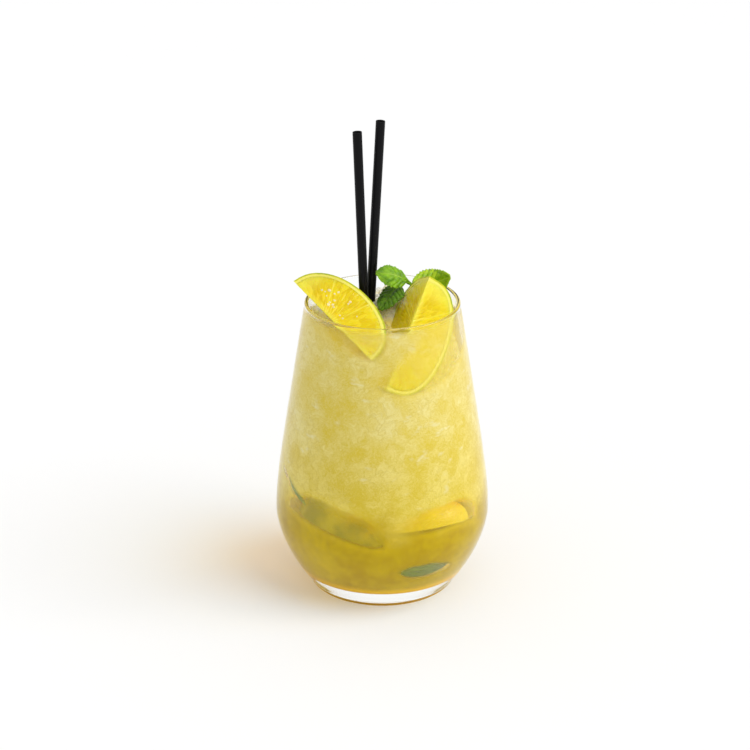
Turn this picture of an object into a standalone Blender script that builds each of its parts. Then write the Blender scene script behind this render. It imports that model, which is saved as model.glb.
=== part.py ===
"""A muddled lime and mint drink: a stemless tumbler that holds juice, crushed ice, bruised and
fresh lime wedges, mint and two sip straws. Metres, +Z up, origin at the middle of the foot."""

import math
import random
from dataclasses import dataclass

import bmesh
import bpy
from mathutils import Matrix, Vector
from mathutils.geometry import interpolate_bezier

# Tumbler
GLASS_HEIGHT = 0.1195
BELLY_RADIUS = 0.0430
BELLY_HEIGHT = 0.0310
RIM_RADIUS = 0.0303
FOOT_RADIUS = 0.0301
FOOT_CORNER = 0.0012  # rounding between the foot's flank and its underside
FOOT_RING = 0.0050  # width of the flat ring that it stands on
PUNT_HEIGHT = 0.0010  # hollow under the middle of the foot
RIM_WALL = 0.0016
BELLY_WALL = 0.0023
HEEL_WALL = 0.0030  # wall where the floor starts
FLOOR_THICKNESS = 0.0080
FLOOR_RADIUS = 0.0230  # flat part of the inner floor
HEEL_HEIGHT = 0.0080  # rise of the round corner between floor and wall
TURNED_STEPS = 40

# Filling
CLEARANCE = 0.0003  # gap that touching pieces keep
JUICE_LEVEL = 0.0440  # top of the dark muddled juice, where the crushed ice starts
HEADSPACE = 0.0080  # from the rim down to the ice at the wall
ICE_DOME = 0.0040  # rise of the ice at the middle
ICE_LEVEL = GLASS_HEIGHT - HEADSPACE

# Straws: hollow tubes that stand on the glass's floor. Each is (foot x, top x, y, length).
STRAW_DIAMETER = 0.0036
STRAW_WALL = 0.0003
STRAWS = {
    "straw_short": (-0.0033, -0.0096, 0.0040, 0.1772),
    "straw_tall": (-0.0102, -0.0008, 0.0086, 0.1803),
}

# Limes, cut lengthwise. A wedge's core lies along its local X, and its peel faces local Z.
RIND = 0.0024
LIME_STEPS = 6


@dataclass
class Wedge:
    """A lime wedge: where its middle is, which way it lies, its size, and its way out."""

    bearing: float  # degrees about Z, from +X
    inset: float  # of its middle from the glass wall at that height
    height: float
    along: tuple
    peel: tuple
    length: float
    depth: float  # from core to peel
    angle: float  # degrees between its two cut faces
    way_out: tuple
    travel: float

    def middle(self):
        bearing = math.radians(self.bearing)
        radius = inner_radius(min(self.height, GLASS_HEIGHT)) - self.inset
        return Vector((radius * math.cos(bearing), radius * math.sin(bearing), self.height))

    def seat(self):
        x, peel = Vector(self.along).normalized(), Vector(self.peel)
        z = (peel - peel.dot(x) * x).normalized()
        return Matrix.Translation(self.middle()) @ Matrix((x, z.cross(x), z)).transposed().to_4x4()


WEDGES = {
    "left_wedge": Wedge(
        bearing=-147.1, inset=0.0063, height=GLASS_HEIGHT - 0.0034,
        along=(-0.648, 0.614, 0.451), peel=(0.657, 0.750, -0.077),
        length=0.0470, depth=0.0172, angle=62, way_out=(-0.07, 0, 1), travel=0.045),
    "right_wedge": Wedge(
        bearing=-58.0, inset=0.0114, height=GLASS_HEIGHT - 0.0073,
        along=(0.354, 0.502, 0.789), peel=(0.223, 0.774, -0.593),
        length=0.0472, depth=0.0186, angle=88, way_out=(0.122, 0.453, 0.883), travel=0.045),
    "muddled_left": Wedge(
        bearing=-123.6, inset=0.0136, height=JUICE_LEVEL - 0.0110,
        along=(-0.87, 0.42, 0.24), peel=(-0.22, -0.60, 0.72),
        length=0.0370, depth=0.0115, angle=75, way_out=(-0.5, -0.86, 0), travel=0.0030),
    "muddled_right": Wedge(
        bearing=-51.2, inset=0.0139, height=JUICE_LEVEL - 0.0114,
        along=(0.97, 0.20, 0.10), peel=(0.20, -0.50, 0.80),
        length=0.0340, depth=0.0108, angle=75, way_out=(0.5, -0.86, 0), travel=0.0030),
}

# Mint
LEAF_THICKNESS = 0.0006
WALL_LEAF_DEPTH = 0.0010  # from the glass to the middle of a leaf that lies against it
STEM_DIAMETER = 0.0016

# Ice chips on top. Each is (share of the way out to the wall, bearing in degrees, rise of its
# middle above the ice at the wall, size).
CHIPS = (
    (0.73, 133, 0.0035, 0.0080), (0.67, 108, 0.0043, 0.0085),
    (0.65, 80, 0.0045, 0.0080), (0.83, 150, 0.0020, 0.0060),
    (0.82, 62, 0.0030, 0.0065), (0.53, 143, 0.0045, 0.0060),
    (0.85, 92, 0.0020, 0.0060), (0.87, 115, 0.0023, 0.0055),
)

# Colour (linear RGB), roughness and metallic value of each material
MATERIALS = {
    "glass": ((0.85, 0.88, 0.88), 0.05, 0.0),
    "juice": ((0.36, 0.24, 0.03), 0.25, 0.0),
    "ice": ((0.72, 0.60, 0.19), 0.35, 0.0),
    "straw": ((0.01, 0.01, 0.012), 0.35, 0.0),
    "rind": ((0.36, 0.46, 0.02), 0.4, 0.0),
    "pulp": ((0.82, 0.65, 0.02), 0.3, 0.0),
    "mint": ((0.13, 0.34, 0.01), 0.45, 0.0),
    "chip": ((0.86, 0.84, 0.74), 0.2, 0.0),
}


# Scene, materials and small tools

def clear_scene():
    for item in list(bpy.data.objects):
        bpy.data.objects.remove(item, do_unlink=True)


def new_collection(name):
    made = bpy.data.collections.new(name)
    bpy.context.scene.collection.children.link(made)
    return made


def make_materials():
    made = {}
    for name, (colour, roughness, metallic) in MATERIALS.items():
        material = bpy.data.materials.new(name)
        material.use_nodes = True
        shader = material.node_tree.nodes["Principled BSDF"]
        shader.inputs["Base Color"].default_value = (*colour, 1)
        shader.inputs["Roughness"].default_value = roughness
        shader.inputs["Metallic"].default_value = metallic
        made[name] = material
    return made


def add_piece(name, mesh, material, smooth=True):
    piece = bpy.data.objects.new(name, mesh)
    parts.objects.link(piece)
    mesh.materials.append(materials[material])
    if smooth:
        mesh.shade_smooth()
        mesh.set_sharp_from_angle(angle=math.radians(35))
    return piece


def add_cutter(name, mesh):
    cutter = bpy.data.objects.new(name + "_cutter", mesh)
    cutters.objects.link(cutter)
    cutter.hide_render = True
    cutter.display_type = "WIRE"
    return cutter


def add_seat(name, matrix):
    seat = bpy.data.objects.new(name + "_seat", None)
    parts.objects.link(seat)
    seat.matrix_world = matrix
    seat.empty_display_size = 0.01
    return seat


def mesh_from(name, bm):
    bmesh.ops.recalc_face_normals(bm, faces=bm.faces)
    mesh = bpy.data.meshes.new(name)
    bm.to_mesh(mesh)
    bm.free()
    return mesh


def hull_mesh(name, points):
    """The convex hull of the points, as a closed mesh."""
    bm = bmesh.new()
    for point in points:
        bm.verts.new(point)
    made = bmesh.ops.convex_hull(bm, input=bm.verts)
    spare = {item for item in made["geom_interior"] + made["geom_unused"]
             if isinstance(item, bmesh.types.BMVert)}
    bmesh.ops.delete(bm, geom=list(spare), context="VERTS")
    bmesh.ops.dissolve_limit(bm, angle_limit=math.radians(1), verts=bm.verts, edges=bm.edges)
    bmesh.ops.triangulate(bm, faces=bm.faces)
    return mesh_from(name, bm)


def turned_mesh(name, outline, closed=False):
    """Turns an outline of (radius, height) points about Z. On its outer side it runs downwards."""
    mesh = bpy.data.meshes.new(name)
    count = len(outline)
    edges = [(i, i + 1) for i in range(count - 1)]
    if closed:
        edges.append((count - 1, 0))
    mesh.from_pydata([(radius, 0, height) for radius, height in outline], edges, [])
    return mesh


def turn(piece, steps=TURNED_STEPS):
    screw = piece.modifiers.new("turn", "SCREW")
    screw.steps = screw.render_steps = steps
    screw.use_merge_vertices = True
    screw.merge_threshold = 0.00001
    screw.use_normal_calculate = False


def cut(piece, cutter):
    knife = piece.modifiers.new(cutter.name, "BOOLEAN")
    knife.operation = "DIFFERENCE"
    knife.solver = "EXACT"
    knife.object = cutter


# Tumbler

def outer_curve():
    """(radius, height) points of the glass's outside, from the foot's corner up to the rim."""
    foot = Vector((FOOT_RADIUS, FOOT_CORNER))
    belly = Vector((BELLY_RADIUS, BELLY_HEIGHT))
    rim = Vector((RIM_RADIUS, GLASS_HEIGHT))
    rise = BELLY_HEIGHT - FOOT_CORNER
    shoulder = GLASS_HEIGHT - BELLY_HEIGHT
    flank = Vector((0.75, 1.0)) * 0.53 * rise
    taper = Vector((0.156, -1.0)) * 0.518 * shoulder
    lower = interpolate_bezier(foot, foot + flank, belly - Vector((0, 0.065 * rise)), belly, 8)
    upper = interpolate_bezier(belly, belly + Vector((0, 0.175 * shoulder)), rim + taper, rim, 9)
    return [tuple(point) for point in lower + upper[1:]]


def interpolate(table, x):
    for (x0, y0), (x1, y1) in zip(table, table[1:]):
        if x <= x1:
            return y0 + (y1 - y0) * max(0, x - x0) / (x1 - x0)
    return table[-1][1]


def inner_radius(height):
    """Radius of the glass's inside where the wall is clear of the floor's corner."""
    outer = interpolate([(z, radius) for radius, z in outer_curve()], height)
    wall = interpolate(
        [(FLOOR_THICKNESS, HEEL_WALL), (BELLY_HEIGHT, BELLY_WALL), (GLASS_HEIGHT, RIM_WALL)],
        height)
    return outer - wall


def inner_curve(gap, top):
    """(radius, height) points of the glass's inside, kept off by gap, from the floor to top."""
    heel_top = FLOOR_THICKNESS + HEEL_HEIGHT
    corner = Vector((inner_radius(heel_top), heel_top))
    floor = Vector((FLOOR_RADIUS, FLOOR_THICKNESS))
    heel = interpolate_bezier(
        floor, floor + Vector((0.6 * (corner.x - floor.x), 0)),
        corner - Vector((0.25, 0.55)) * HEEL_HEIGHT, corner, 5)
    heights = [z for _, z in outer_curve() if heel_top + 0.003 < z < top - 0.003] + [top]
    wall = [(inner_radius(z), z) for z in heights]
    points = [(0, FLOOR_THICKNESS)] + [tuple(point) for point in heel] + wall
    return [(max(0, radius - gap), min(z + gap, top)) for radius, z in points]


def make_glass():
    lip = RIM_WALL / 2
    rim_middle = RIM_RADIUS - lip
    inside = inner_curve(0, GLASS_HEIGHT - 1.2 * lip)
    over = [(rim_middle - lip * math.cos(a), GLASS_HEIGHT - lip + lip * math.sin(a))
            for a in (math.radians(25 * k) for k in range(1, 7))]
    outside = [(radius, z) for radius, z in reversed(outer_curve()) if z < GLASS_HEIGHT - lip]
    ring = FOOT_RADIUS - FOOT_CORNER
    under = [(FOOT_RADIUS - 0.3 * FOOT_CORNER, 0.3 * FOOT_CORNER), (ring, 0),
             (ring - FOOT_RING, 0), (0.5 * ring, 0.75 * PUNT_HEIGHT), (0, PUNT_HEIGHT)]
    mesh = turned_mesh("glass_tumbler", inside + over + outside + under)
    turn(add_piece("glass_tumbler", mesh, "glass"))


# Filling

def make_filling():
    """The muddled juice at the bottom, and the crushed ice that floats above it."""
    below = inner_curve(CLEARANCE, JUICE_LEVEL)
    outline = [(0, JUICE_LEVEL)] + list(reversed(below))
    juice = add_piece("muddled_juice", turned_mesh("muddled_juice", outline), "juice")
    bottom = JUICE_LEVEL + CLEARANCE
    heights = [ICE_LEVEL + (bottom - ICE_LEVEL) * k / 6 for k in range(7)]
    side = [(inner_radius(z) - 1.3 * CLEARANCE, z) for z in heights]
    edge = side[0][0]
    dome = [(edge * k / 4, ICE_LEVEL + ICE_DOME * (1 - (k / 4) ** 2.5)) for k in range(4)]
    ice = add_piece("crushed_ice", turned_mesh("crushed_ice", dome + side + [(0, bottom)]), "ice")
    for piece in (juice, ice):
        turn(piece)
    return juice, ice


# Straws

def make_straw(name, foot_x, top_x, y, length):
    """A hollow tube that stands just off the glass's floor, leaning along X."""
    foot = Vector((foot_x, y, FLOOR_THICKNESS + CLEARANCE + 0.12 * STRAW_DIAMETER))
    rise = math.sqrt(length ** 2 - (top_x - foot_x) ** 2)
    axis = Vector((top_x - foot_x, 0, rise)).normalized()
    outer, inner = STRAW_DIAMETER / 2, STRAW_DIAMETER / 2 - STRAW_WALL
    outline = [(inner, 0), (inner, length), (outer, length), (outer, 0)]
    straw = add_piece(name, turned_mesh(name, outline, closed=True), "straw")
    turn(straw, 16)
    sleeve = bmesh.new()
    depth = ICE_LEVEL + 2 * ICE_DOME
    bmesh.ops.create_cone(
        sleeve, cap_ends=True, segments=16, radius1=outer + CLEARANCE, radius2=outer + CLEARANCE,
        depth=depth, matrix=Matrix.Translation((0, 0, depth / 2 - 2 * CLEARANCE)))
    cutter = add_cutter(name, mesh_from(name + "_cutter", sleeve))
    for item in (straw, cutter):
        item.location = foot
        item.rotation_euler = axis.to_track_quat("Z", "Y").to_euler()
    return cutter


# Limes

def lime_arc(length, depth, count=10):
    """(x, z) points along one side of a lime cut lengthwise, blunt at both ends."""
    angles = [math.pi * k / count for k in range(count + 1)]
    return [(-length / 2 * math.cos(a), depth * math.sin(a) ** 0.85) for a in angles]


def spun_mesh(name, outline, angle):
    """Spins a flat outline in XZ about X, from -angle / 2 to angle / 2, into a closed solid."""
    bm = bmesh.new()
    start = Matrix.Rotation(-angle / 2, 3, "X")
    face = bm.faces.new([bm.verts.new(start @ Vector((x, 0, z))) for x, z in outline])
    bmesh.ops.spin(
        bm, geom=[face, *face.edges, *face.verts], angle=angle, steps=LIME_STEPS,
        axis=(1, 0, 0), cent=(0, 0, 0), use_duplicate=False)
    bmesh.ops.remove_doubles(bm, verts=bm.verts, dist=0.000002)
    bmesh.ops.triangulate(bm, faces=bm.faces)
    return mesh_from(name, bm)


def pocket_points(wedge, gap):
    """Points whose hull is the room that a wedge needs, on its seat and on its way out."""
    angle = math.radians(wedge.angle)
    shift = Vector((0, 0, -gap / math.sin(angle / 2)))
    seat = wedge.seat()
    points = []
    for x, z in lime_arc(wedge.length + 2 * gap, wedge.depth + gap):
        for k in range(LIME_STEPS + 1):
            turned = Matrix.Rotation(angle * (k / LIME_STEPS - 0.5), 3, "X") @ Vector((x, 0, z))
            points += [seat @ turned, seat @ (turned + shift)]
    out = Vector(wedge.way_out).normalized() * wedge.travel
    return points + [point + out for point in points]


def make_wedge(name, wedge):
    seat = add_seat(name, wedge.seat())
    angle = math.radians(wedge.angle)
    skin = lime_arc(wedge.length, wedge.depth)
    flesh = lime_arc(wedge.length - 2 * RIND, wedge.depth - RIND)
    pulp = lime_arc(wedge.length - 2 * (RIND + CLEARANCE), wedge.depth - RIND - CLEARANCE)
    rind = add_piece(name + "_rind", spun_mesh(name, skin + flesh[::-1], angle), "rind")
    core = add_piece(name + "_pulp", spun_mesh(name, pulp, angle), "pulp")
    rind.parent = core.parent = seat
    return add_cutter(name, hull_mesh(name + "_cutter", pocket_points(wedge, 1.5 * CLEARANCE)))


# Mint

def on_wall(bearing, height):
    bearing = math.radians(bearing)
    radius = inner_radius(height)
    return Vector((radius * math.cos(bearing), radius * math.sin(bearing), height))


def make_leaf(name, base, tip, across, width, arch, droop=0.0, depth=None, cutter=False):
    """A pointed leaf from base to tip. With a depth it lies along the glass wall, that far in."""
    base, tip, across = Vector(base), Vector(tip), Vector(across).normalized()
    along = tip - base
    normal = along.cross(across).normalized()
    grow = 1.5 * CLEARANCE if cutter else 0
    bm = bmesh.new()
    bmesh.ops.create_grid(bm, x_segments=7, y_segments=2, size=1)
    for vert in bm.verts:
        u, v = (vert.co.x + 1) / 2, vert.co.y
        half = 0.0003 + width / 2 * math.sin(math.pi * u ** 0.8) ** 0.8 + grow
        reach = (1 + 2 * grow / along.length) * (u - 0.5) + 0.5
        lift = arch * math.sin(math.pi * u) - droop * v * v * math.sin(math.pi * u)
        vert.co = base + along * reach + across * half * v + normal * lift
        if depth is not None:
            radius = math.hypot(vert.co.x, vert.co.y)
            vert.co.xy *= (inner_radius(vert.co.z) - depth) / radius
    mesh = mesh_from(name, bm)
    leaf = add_cutter(name, mesh) if cutter else add_piece(name, mesh, "mint")
    skin = leaf.modifiers.new("thickness", "SOLIDIFY")
    skin.thickness = LEAF_THICKNESS + (6 * CLEARANCE if cutter else 0)
    skin.offset = 0
    return leaf


def make_stem(name, points):
    """A short round stem, laid through the points."""
    curve = bpy.data.curves.new(name, "CURVE")
    curve.dimensions = "3D"
    curve.bevel_depth = STEM_DIAMETER / 2
    curve.bevel_resolution = 2
    curve.use_fill_caps = True
    spline = curve.splines.new("POLY")
    spline.points.add(len(points) - 1)
    for knot, point in zip(spline.points, points):
        knot.co = (*point, 1)
    add_piece(name, curve, "mint", smooth=False)


def make_mint():
    """The sprig on top, and the bruised leaves further down. Returns the cutters they need."""
    behind = WEDGES["right_wedge"].middle()
    make_stem("mint_stem", [behind + Vector(point) for point in (
        (0.0027, 0.0229, 0.0090), (0.0052, 0.0253, 0.0081), (0.0080, 0.0285, 0.0072),
        (0.0097, 0.0317, 0.0062))])
    leaves = {
        "mint_leaf_curled": ((0.0020, 0.0223, 0.0106), (-0.0110, 0.0187, 0.0170),
                             (-0.2, 0.95, 0.25), 0.0085, -0.0035, 0.0012),
        "mint_leaf_back": ((0.0036, 0.0219, 0.0108), (0.0164, 0.0209, 0.0140),
                           (0.0, 0.9, 0.45), 0.0080, -0.0042, 0.0012),
        "mint_leaf_flat": ((-0.0016, 0.0229, 0.0100), (-0.0118, 0.0159, 0.0088),
                           (-0.35, 0.75, 0.45), 0.0092, -0.0008, 0.0010),
    }
    for name, (base, tip, across, width, arch, droop) in leaves.items():
        make_leaf(name, behind + Vector(base), behind + Vector(tip), across, width, arch, droop)
    sides = {
        "mint_leaf_wall": ((-139, JUICE_LEVEL), (-165, JUICE_LEVEL + 0.0090), 0.0022),
        "mint_leaf_bottom": ((-80, FLOOR_THICKNESS + 0.0125), (-46, FLOOR_THICKNESS + 0.0105), 0.0060),
    }
    pockets = []
    for name, (base, tip, width) in sides.items():
        ends = [on_wall(*base), on_wall(*tip)]
        for cutter in (False, True):
            leaf = make_leaf(name, *ends, (0.3, 0, 0.95), width, 0, depth=WALL_LEAF_DEPTH, cutter=cutter)
        pockets.append(leaf)
    return pockets


# Ice chips

def make_chip(name, share, bearing, rise, size, seed):
    """A broken piece of ice, and the cutter for the hollow that it lies in."""
    rng = random.Random(seed)
    out, bearing = share * inner_radius(ICE_LEVEL), math.radians(bearing)
    middle = Vector((out * math.cos(bearing), out * math.sin(bearing), ICE_LEVEL + rise))
    corners = []
    for _ in range(12):
        way = Vector([rng.gauss(0, 1) for _ in range(3)]).normalized()
        corners.append(Vector((way.x, way.y, 0.7 * way.z)) * size / 2)
    chip = add_piece(name, hull_mesh(name, corners), "chip", smooth=False)
    grown = [corner * (1 + 4 * CLEARANCE / size) for corner in corners]
    cutter = add_cutter(name, hull_mesh(name + "_cutter", grown))
    chip.location = cutter.location = middle
    return cutter


# The whole drink

clear_scene()
parts = new_collection("muddled_drink")
cutters = new_collection("cutters")
materials = make_materials()

make_glass()
fillings = make_filling()
rooms = [make_straw(name, *size) for name, size in STRAWS.items()]
rooms += [make_wedge(name, wedge) for name, wedge in WEDGES.items()]
rooms += make_mint()
rooms += [make_chip(f"ice_chip_{k:02d}", *chip, seed=k) for k, chip in enumerate(CHIPS, 1)]
for filling in fillings:
    for room in rooms:
        cut(filling, room)
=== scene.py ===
"""Looks of a muddled lime and mint drink in a stemless tumbler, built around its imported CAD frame."""

import math
import random

import bmesh
import bpy
import numpy as np
from mathutils import Matrix, Vector, noise
from mathutils.bvhtree import BVHTree


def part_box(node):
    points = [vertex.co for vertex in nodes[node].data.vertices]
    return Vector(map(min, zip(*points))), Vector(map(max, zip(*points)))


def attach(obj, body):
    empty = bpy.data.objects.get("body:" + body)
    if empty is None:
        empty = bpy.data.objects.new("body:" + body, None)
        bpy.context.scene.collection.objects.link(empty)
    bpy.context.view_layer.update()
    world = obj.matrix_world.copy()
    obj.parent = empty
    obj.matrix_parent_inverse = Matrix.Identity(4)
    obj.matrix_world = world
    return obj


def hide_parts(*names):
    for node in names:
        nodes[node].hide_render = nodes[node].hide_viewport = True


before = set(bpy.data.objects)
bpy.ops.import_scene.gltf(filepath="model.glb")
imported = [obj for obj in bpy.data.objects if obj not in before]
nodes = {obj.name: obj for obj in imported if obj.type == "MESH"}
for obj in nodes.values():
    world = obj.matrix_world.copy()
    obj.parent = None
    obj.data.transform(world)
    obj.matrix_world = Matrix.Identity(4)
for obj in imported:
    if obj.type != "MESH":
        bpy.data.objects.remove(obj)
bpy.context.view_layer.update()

# Sizes kept here, in metres. Places come from the frame.
GLASS_STEPS = 144
RING_STEP = 0.0011  # between the rings of a turned wall
WALL_TOUCH = 0.00006  # how far the drink presses into the glass, so that no air shows between them
SKIN_DEPTH = 0.0016  # from the skin at the wall in to the cloudy core
PEEL = 0.0017  # zest and pith together
ZEST_SHARE = 0.36  # how much of the peel is zest
STRAW_WALL = 0.0003
LEAF_WALL = 0.0005
FLESH_OVERLAP = 0.00015  # how far a lime's flesh reaches into its peel
ICE_CELL = 0.0042  # size of one piece of crushed ice
CRUMB_SIZES = (0.0018, 0.0024, 0.0030, 0.0040)
HOLLOW = 0.0060  # how much lower the ice lies in front, so that it doesn't hide the fruit
LOOK_SLOPE = 0.36  # how far a look into the drink from above falls on its way in
PORE = 0.00095  # between the oil glands of a peel
STEM_RADIUS = 0.00082
MINT_GLOW = (0.2, (0.001, 0.002, 0.0004))
MINT_ROUGHNESS = 0.35
VEINS, VEIN_LEAN = 7.5, 1.6  # side veins along a leaf, and how far they lean to its tip


# Small tools

def rgb(red, green, blue):
    """A screen colour of 0 to 255 as the linear colour that a shader takes."""
    return (*(((c / 255 + 0.055) / 1.055) ** 2.4 if c > 10 else c / 3295 for c in (red, green, blue)), 1)


def deselect():
    for item in bpy.context.selected_objects:
        item.select_set(False)


def focus(piece):
    deselect()
    piece.select_set(True)
    bpy.context.view_layer.objects.active = piece


def edit(piece):
    focus(piece)
    bpy.ops.object.mode_set(mode="EDIT")


def leave_edit():
    bpy.ops.object.mode_set(mode="OBJECT")


def pick(piece, kind, test):
    """In edit mode, selects only the vertices or faces that pass the test."""
    mesh = bmesh.from_edit_mesh(piece.data)
    bpy.ops.mesh.select_all(action="DESELECT")
    bpy.ops.mesh.select_mode(type=kind)
    for item in mesh.verts if kind == "VERT" else mesh.faces:
        item.select_set(bool(test(item)))
    mesh.select_flush_mode()
    bmesh.update_edit_mesh(piece.data)


def named(name):
    """The piece that was just made, under its own name."""
    piece = bpy.context.object
    piece.name = piece.data.name = name
    return piece


def joined(pieces, name):
    focus(pieces[0])
    for piece in pieces:
        piece.select_set(True)
    bpy.ops.object.join()
    return named(name)


def finish_modifiers(piece):
    focus(piece)
    for modifier in list(piece.modifiers):
        bpy.ops.object.modifier_apply(modifier=modifier.name)


def smooth(piece, degrees=40):
    focus(piece)
    bpy.ops.object.shade_smooth_by_angle(angle=math.radians(degrees))


def place(piece, matrix):
    """Puts the piece where it belongs by its mesh, and leaves its object at the origin."""
    piece.data.transform(matrix @ piece.matrix_world)
    piece.matrix_world = Matrix.Identity(4)


def reshape(piece, move):
    """Moves every point of the piece to where move puts it."""
    for vert in piece.data.vertices:
        vert.co = move(vert.co.copy())
    piece.data.update()


def hand_over(piece, body, material, slot, *replaced):
    """Gives a finished piece its material and its body, and hides the CAD nodes that it stands for."""
    piece.data.materials.clear()
    piece.data.materials.append(material)
    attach(piece, body)
    if replaced:
        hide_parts(*replaced)
    return piece


def keep_local(piece, name):
    """Stores where each point lies in the piece's own frame, for its material to read."""
    layer = piece.data.attributes.new(name, "FLOAT_VECTOR", "POINT")
    layer.data.foreach_set("vector", [c for vert in piece.data.vertices for c in vert.co])


def keep_value(piece, name, value_at):
    layer = piece.data.attributes.new(name, "FLOAT", "POINT")
    layer.data.foreach_set("value", [value_at(vert.co) for vert in piece.data.vertices])


def points_of(*names):
    return np.array([vert.co for name in names for vert in nodes[name].data.vertices])


def ramp_up(x, low, high):
    """0 below low, 1 above high, and smooth between."""
    t = min(max((x - low) / (high - low), 0), 1)
    return t * t * (3 - 2 * t)


# What the frame says

def wall_rows(way, above):
    """(height, radius) of the glass's faces that point away from its axis (1) or towards it (-1)."""
    mesh = nodes["glass_tumbler"].data
    rows = {}
    for face in mesh.polygons:
        out = Vector((*face.center.xy, 0)).normalized()
        if face.center.z > above and way * face.normal.dot(out) > 0.03:
            for k in face.vertices:
                point = mesh.vertices[k].co
                rows[round(point.z, 5)] = point.xy.length
    return sorted(rows.items())


def curve_through(rows):
    """A smooth function that passes through (x, y) rows."""
    def slope(k):
        a, b = rows[max(k - 1, 0)], rows[min(k + 1, len(rows) - 1)]
        return (b[1] - a[1]) / (b[0] - a[0])

    def value(x):
        k = 0
        while k < len(rows) - 2 and rows[k + 1][0] < x:
            k += 1
        (x0, y0), (x1, y1) = rows[k], rows[k + 1]
        width = x1 - x0
        t = min(max((x - x0) / width, 0), 1)
        m0, m1 = slope(k) * width, slope(k + 1) * width
        return (y0 * (1 + 2 * t) * (1 - t) ** 2 + m0 * t * (1 - t) ** 2
                + y1 * t * t * (3 - 2 * t) + m1 * t * t * (t - 1))
    return value


RIM_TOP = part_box("glass_tumbler")[1].z
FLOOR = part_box("muddled_juice")[0].z - 0.0003
JUICE_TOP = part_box("muddled_juice")[1].z
outer_rows = wall_rows(1, 0.0006)
inner_rows = wall_rows(-1, 0.75 * FLOOR)
LIP = 0.0008
outer_radius = curve_through([row for row in outer_rows if row[0] < RIM_TOP - 0.4 * LIP])
inner_radius = curve_through([row for row in inner_rows if row[0] < RIM_TOP - 0.4 * LIP])
FOOT_CORNER = min(row[0] for row in outer_rows if row[0] > 0.0008)
ICE_EDGE = min(point[2] for point in points_of("crushed_ice") if math.hypot(*point[:2])
               > inner_radius(0.93 * RIM_TOP) - 0.0006 and point[2] > 0.9 * RIM_TOP)
ICE_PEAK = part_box("crushed_ice")[1].z


def mound_height(share):
    """Height of the ice mound at a share of the way from its axis to the wall."""
    return ICE_EDGE + (ICE_PEAK - ICE_EDGE) * (1 - share ** 2.5)


# Turned pieces

def turned(name, outline, steps=GLASS_STEPS, close_last=True):
    """Draws a ring up or down through (radius, height) points, as on a lathe, and closes its ends."""
    deselect()
    radius, height = outline[0]
    bpy.ops.mesh.primitive_circle_add(vertices=steps, radius=radius, location=(0, 0, height))
    piece = named(name)
    place(piece, Matrix.Identity(4))
    edit(piece)
    bpy.ops.mesh.select_mode(type="VERT")
    bpy.ops.mesh.select_all(action="SELECT")
    for next_radius, next_height in outline[1:]:
        bpy.ops.mesh.extrude_region_move(
            TRANSFORM_OT_translate={"value": (0, 0, next_height - height)})
        ratio = next_radius / radius
        bpy.ops.transform.resize(value=(ratio, ratio, 1), center_override=(0, 0, next_height))
        radius, height = next_radius, next_height
    if close_last:
        bpy.ops.mesh.merge(type="CENTER")
    first = outline[0]
    pick(piece, "VERT", lambda v: abs(v.co.z - first[1]) < 1e-6 and abs(v.co.xy.length - first[0]) < 1e-6)
    bpy.ops.mesh.merge(type="CENTER")
    bpy.ops.mesh.select_all(action="SELECT")
    bpy.ops.mesh.normals_make_consistent(inside=False)
    leave_edit()
    return piece


def steps_between(low, high, step=RING_STEP):
    count = max(2, round(abs(high - low) / step))
    return [low + (high - low) * k / count for k in range(count + 1)]


def arc(middle, radius, start, end, count):
    """(radius, height) points of an arc about middle, from start to end in degrees."""
    turns = [math.radians(start + (end - start) * k / count) for k in range(count + 1)]
    return [(middle[0] + radius * math.cos(a), middle[1] + radius * math.sin(a)) for a in turns]


def make_glass(material):
    foot = outer_radius(FOOT_CORNER)
    ring, punt = foot - FOOT_CORNER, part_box("glass_tumbler")[0].z + 0.0010
    under = [(0.0005, punt), (0.3 * ring, 0.97 * punt), (0.6 * ring, 0.7 * punt),
             (0.78 * ring, 0.18 * punt), (0.84 * ring, 0)]
    corner = arc((ring, FOOT_CORNER), FOOT_CORNER, -90, 0, 6)
    top = RIM_TOP - LIP
    outside = [(outer_radius(z), z) for z in steps_between(FOOT_CORNER, top)[1:]]
    lip = arc(((outer_radius(top) + inner_radius(top)) / 2, top), LIP, 0, 180, 12)[1:]
    inside = [(inner_radius(z), z) for z in reversed(steps_between(FLOOR + 0.0002, top)[:-1])]
    floor = [(0.8 * inside[-1][0], FLOOR), (0.4 * inside[-1][0], FLOOR), (0.0005, FLOOR)]
    glass = turned("tumbler_glass", under + corner + outside + lip + inside + floor)
    smooth(glass, 50)
    return hand_over(glass, "glass", material, "glass", "glass_tumbler")


def drink_radius(z, inset):
    return inner_radius(max(z, FLOOR + 0.0002)) - inset


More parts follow.
